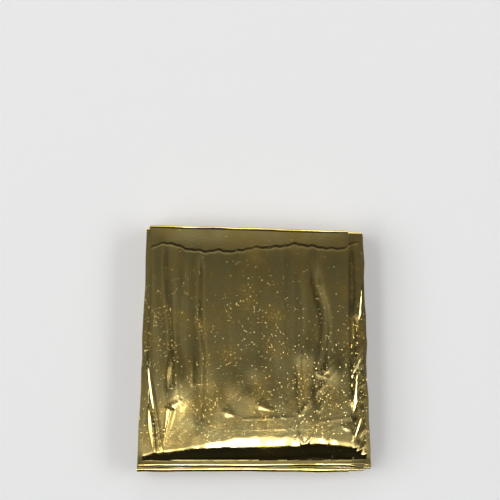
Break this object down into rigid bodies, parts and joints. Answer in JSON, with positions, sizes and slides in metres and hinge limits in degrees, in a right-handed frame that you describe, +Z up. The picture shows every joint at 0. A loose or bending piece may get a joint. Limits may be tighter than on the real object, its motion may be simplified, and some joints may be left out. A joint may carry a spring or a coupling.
{
  "type": "emergency foil blanket",
  "caption": "Emergency foil blanket folded into a flat pack: one gold metallised film, pleated into a strip and folded back and forth, with a wavy flap end on top",
  "frame": {"origin": "middle of the pack's underside, on the surface it rests on", "axes": "+Z up through the layers; +Y along the layers, towards the flap's wavy free end; +X along the folds, to the right when the flap is seen from above"},
  "size_m": [0.0926, 0.0966, 0.0152],
  "materials": {
    "gold_film": "gloss"
  },
  "bodies": {
    "root": {"folded_blanket": "gold_film"}
  },
  "joints": []
}
